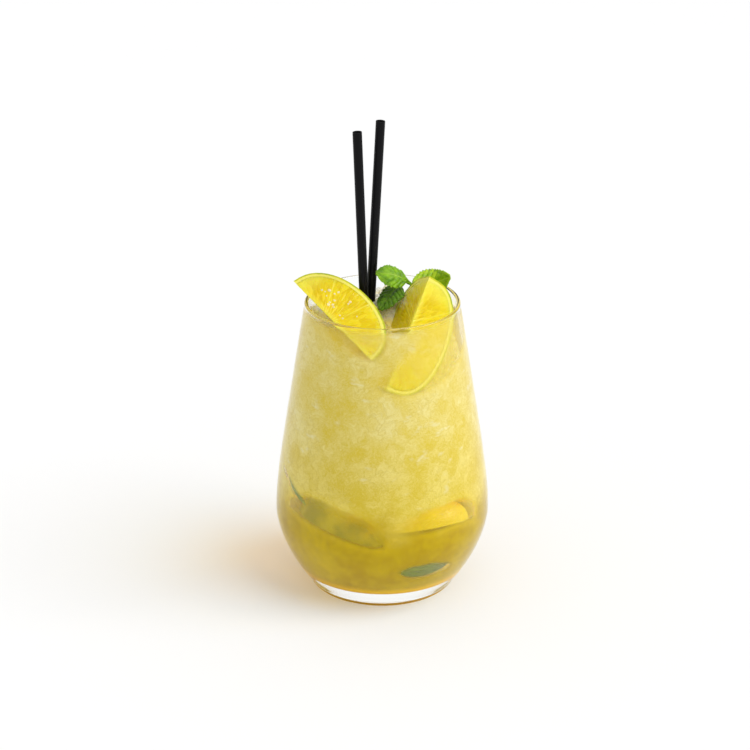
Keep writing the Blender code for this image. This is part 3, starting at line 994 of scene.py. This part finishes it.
def peel_material(name, pores, zest, light_zest, pith):
    material, board = start_material(
        name, glow=(0.25, (0.0015, 0.0015, 0.0005)), Roughness=0.35, Specular_IOR_Level=0.35)
    where = board.kept("fruit")
    inward = board.kept("inward", "Fac")
    glands = place_group(board, pores, Vector=where, Size=PORE)
    patch = board.noise(where, 0.007, 3.0)
    skin = board.blend(board.span(patch, 0.38, 0.66), zest, light_zest)
    skin = board.blend(board.times(glands["Pore"], 0.35), skin, zest)
    grain = board.minus(board.noise(where, 0.0012, 2.0), 0.5)
    ragged = board.plus(inward, board.times(grain, 0.25))
    colour = board.blend(board.span(ragged, ZEST_SHARE - 0.1, ZEST_SHARE + 0.15), skin, pith)
    board.colour(colour)
    outside = board.span(inward, 0.0, 0.06, 1.0, 0.0)
    board.roughness(board.span(ragged, 0.2, 0.5, 0.3, 0.6))
    board.bump(board.times(glands["Height"], outside), 0.00012)
    return material


def flesh_material(name, dark, bright, pale):
    """Juice sacs that point from the peel to the core, thin pale membranes, and a pale core."""
    material, board = start_material(
        name, glow=(0.5, (0.004, 0.003, 0.0006)), Roughness=0.25, Specular_IOR_Level=0.25,
        Coat_Weight=0.08, Coat_Roughness=0.08)
    where = board.kept("fruit")
    split = board.add("SeparateXYZ", {0: where}).outputs
    out = board.vector("LENGTH", board.add("CombineXYZ", {0: split[0], 1: split[1]}).outputs[0])
    reach = board.plus(out, 0.006)
    turn = board.math("ARCTAN2", split[2], reach)
    far = board.math("SQRT", board.plus(board.math("POWER", split[2], 2.0), board.math("POWER", reach, 2.0)))
    side = board.times(board.math("SIGN", split[1]), 0.4)
    fan = board.add("CombineXYZ", {0: board.times(turn, 7.5), 1: board.times(far, 170.0), 2: side}).outputs[0]
    warp = board.add("TexNoise", {"Vector": fan, "Scale": 1.3, "Detail": 2.0}).outputs["Color"]
    bent = board.vector("ADD", fan, board.vector("MULTIPLY", warp, (0.6, 0.6, 0.0)))
    sacs = board.add("TexVoronoi", {"Vector": bent, "Scale": 1.7}, feature="F1")
    seams = board.add("TexVoronoi", {"Vector": bent, "Scale": 1.7}, feature="DISTANCE_TO_EDGE")
    tone = board.red(sacs.outputs["Color"])
    seam = board.span(seams.outputs["Distance"], 0.0, 0.16, 1.0, 0.0)
    colour = board.blend(board.span(tone, 0.1, 0.9), dark, bright)
    colour = board.blend(board.times(seam, 0.16), colour, pale)
    folds = board.math("FRACT", board.plus(board.times(turn, 1.25), 0.72))
    folds = board.math("ABSOLUTE", board.minus(folds, 0.5))
    membrane = board.span(folds, 0.0, 0.035, 1.0, 0.0)
    core = board.span(out, 0.0004, 0.0022, 1.0, 0.0)
    white = board.math("MAXIMUM", board.times(membrane, 0.5), board.times(core, 0.6))
    end = board.span(split[2], 0.0130, 0.0200)
    white = board.math("MAXIMUM", white, board.times(end, 0.7))
    colour = board.blend(white, colour, pale)
    board.colour(colour)
    board.roughness(board.span(tone, 0.0, 1.0, 0.14, 0.32))
    dome = board.minus(0.7, sacs.outputs["Distance"])
    relief = board.plus(dome, board.times(white, 0.35))
    board.bump(relief, 0.00025)
    board.let_lamps_through((0.90, 0.74, 0.20, 1))
    return material


def leaf_material(name, dark, bright, vein):
    """A mint leaf: midrib, side veins that curve to the teeth, and a puckered surface."""
    material, board = start_material(
        name, glow=MINT_GLOW, Roughness=MINT_ROUGHNESS, Specular_IOR_Level=0.35)
    where = board.kept("leaf")
    split = board.add("SeparateXYZ", {0: where}).outputs
    out = board.math("ABSOLUTE", split[1])
    lean = board.minus(board.times(split[0], VEINS), board.times(out, VEIN_LEAN))
    side = board.math("ABSOLUTE", board.minus(board.math("FRACT", lean), 0.5))
    ribs = board.span(side, 0.40, 0.5)
    midrib = board.span(out, 0.02, 0.09, 1.0, 0.0)
    net = board.add("TexVoronoi", {"Vector": board.vector("MULTIPLY", where, (26.0, 9.0, 1.0)), "Scale": 1.0},
                    feature="DISTANCE_TO_EDGE").outputs["Distance"]
    small = board.span(net, 0.0, 0.16, 1.0, 0.0)
    lines = board.math("MAXIMUM", board.times(ribs, 0.7), board.times(small, 0.3))
    lines = board.math("MAXIMUM", midrib, lines)
    spot = board.noise(board.vector("MULTIPLY", where, (3.0, 1.5, 1.0)), 0.5, 3.0)
    colour = board.blend(board.span(spot, 0.35, 0.65), dark, bright)
    colour = board.blend(board.times(lines, 0.6), colour, vein)
    board.colour(colour)
    board.roughness(board.span(spot, 0.3, 0.7, MINT_ROUGHNESS - 0.1, MINT_ROUGHNESS + 0.15))
    board.bump(board.times(lines, -1.0), 0.00018)
    return material


def stem_material():
    material, board = start_material("mint stem", glow=MINT_GLOW, Roughness=0.45)
    where = board.here()
    hairs = board.noise(where, 0.0005, 3.0)
    patch = board.noise(where, 0.004, 2.0)
    colour = board.blend(board.span(patch, 0.35, 0.65), rgb(120, 165, 20), rgb(160, 190, 60))
    board.colour(colour)
    board.roughness(board.span(hairs, 0.3, 0.7, 0.35, 0.6))
    board.bump(hairs, 0.00005)
    return material


def floor_material():
    material, board = start_material("pale floor", Roughness=0.7, Specular_IOR_Level=0.1)
    where = board.here()
    soft = board.noise(where, 0.4, 2.0)
    board.colour(board.blend(soft, (0.9, 0.9, 0.9, 1), (0.92, 0.92, 0.92, 1)))
    return material


# Stage

def make_stage():
    deselect()
    bpy.ops.mesh.primitive_plane_add(size=12, location=(0, 0, -0.0001))
    floor = bpy.context.object
    floor.name = "floor"
    floor.data.materials.append(floor_material())

    world = bpy.data.worlds.new("studio")
    bpy.context.scene.world = world
    world.use_nodes = True
    board = Board(world.node_tree)
    path = board.add("LightPath").outputs
    seen = board.math("MAXIMUM", path["Is Camera Ray"], path["Is Transmission Ray"])
    strength = board.add("MapRange", {"Value": seen, "To Min": 0.62, "To Max": 1.0}).outputs[0]
    back = world.node_tree.nodes["Background"]
    back.inputs["Color"].default_value = (1, 1, 1, 1)
    board.feed(back.inputs["Strength"], strength)

    light = bpy.data.lights.new("key", "SUN")
    light.angle, light.energy = math.radians(44), 2.0
    lamp = bpy.data.objects.new("key", light)
    bpy.context.scene.collection.objects.link(lamp)
    lamp.location = (0.95, -0.22, 1.25)
    lamp.rotation_euler = (-lamp.location).to_track_quat("-Z", "Y").to_euler()

    camera = bpy.data.cameras.new("camera")
    camera.lens, camera.sensor_width = 91.2, 36
    view = bpy.data.objects.new("camera", camera)
    bpy.context.scene.collection.objects.link(view)
    view.location = (-0.0029, -0.6875, 0.3875)
    view.rotation_euler = (math.radians(66.45), 0, 0)
    bpy.context.scene.camera = view
    bpy.context.scene.view_settings.view_transform = "Standard"


# The whole drink

make_stage()
ice_pattern = crushed_ice_group()
pores = pores_group()
green_mint = leaf_material("bright mint", rgb(88, 140, 4), rgb(140, 190, 10), rgb(176, 206, 70))
dark_mint = leaf_material("dark mint", rgb(66, 104, 4), rgb(104, 150, 6), rgb(120, 150, 40))
lime_mint = leaf_material("yellow mint", rgb(128, 168, 2), rgb(182, 212, 10), rgb(200, 216, 80))
bruised_mint = leaf_material("bruised mint", rgb(72, 106, 0), rgb(110, 140, 0), rgb(150, 150, 10))
fresh_peel = peel_material("fresh peel", pores, rgb(170, 182, 10), rgb(216, 212, 30), rgb(246, 236, 104))
fresh_flesh = flesh_material("fresh flesh", rgb(226, 196, 0), rgb(238, 213, 0), rgb(246, 234, 84))
bruised_peel = peel_material("bruised peel", pores, rgb(124, 118, 0), rgb(176, 156, 0), rgb(250, 230, 60))
yellow_peel = peel_material("yellow peel", pores, rgb(232, 196, 0), rgb(246, 214, 0), rgb(252, 232, 60))
bruised_flesh = flesh_material("bruised flesh", rgb(238, 202, 0), rgb(252, 224, 0), rgb(252, 234, 60))
broken_ice = ice_material(ice_pattern)
black = straw_material()

limes = [side + part for side in ("left_wedge", "right_wedge", "muddled_left", "muddled_right")
         for part in ("_rind", "_pulp")]
maps = [FruitMap(limes), FruitMap(["mint_leaf_wall", "mint_leaf_bottom"])]
make_glass(glass_material())
make_fillings(core_material("crushed ice core", ice_pattern, (1.0, 0.93, 0.72, 1)),
              core_material("juice core", ice_pattern, (1.0, 0.78, 0.25, 1)), maps)
make_skin(skin_material(ice_pattern), *maps)
make_chips(broken_ice)
sprig = ["mint_stem", "mint_leaf_curled", "mint_leaf_back", "mint_leaf_flat"]
make_rubble(broken_ice, limes + sprig + ["straw_short", "straw_tall"])
for size in ("short", "tall"):
    make_straw("straw_" + size, size + "_straw", black)
left_seat = make_wedge("left_wedge", fresh_peel, fresh_flesh, lean=0.0026)
make_droplets(*left_seat, water_material())
make_wedge("right_wedge", fresh_peel, fresh_flesh, bluntness=0.66)
make_wedge("muddled_left", bruised_peel, bruised_flesh)
make_wedge("muddled_right", yellow_peel, bruised_flesh)

stem_root = points_of("mint_stem").mean(0)
make_stem("mint_stem", "mint_sprig", stem_material())
make_leaf("curled_leaf", "mint_leaf_curled", green_mint, stem_root, 0.3, 1,
          grow=(1.08, 1.15, 0.6), turns=(-24, 0, 0), stalk=0.26)
make_leaf("back_leaf", "mint_leaf_back", lime_mint, stem_root, 0.3, 2,
          grow=(1.1, 1.3, 1.0), shift=(-0.0014, 0, 0.0006), turns=(35, 0, 0))
make_leaf("flat_leaf", "mint_leaf_flat", dark_mint, stem_root, 0.2, 3,
          grow=(1.15, 1.1, 1.0), turns=(22, 14, 12), stalk=0.08)
for side, root, seed in (("wall", (-0.02, -0.03, 0.02), 4), ("bottom", (0, -0.04, 0.02), 5)):
    make_leaf(side + "_leaf", "mint_leaf_" + side, bruised_mint, root, 0.0, seed, wall=True, ruffle=0.3)
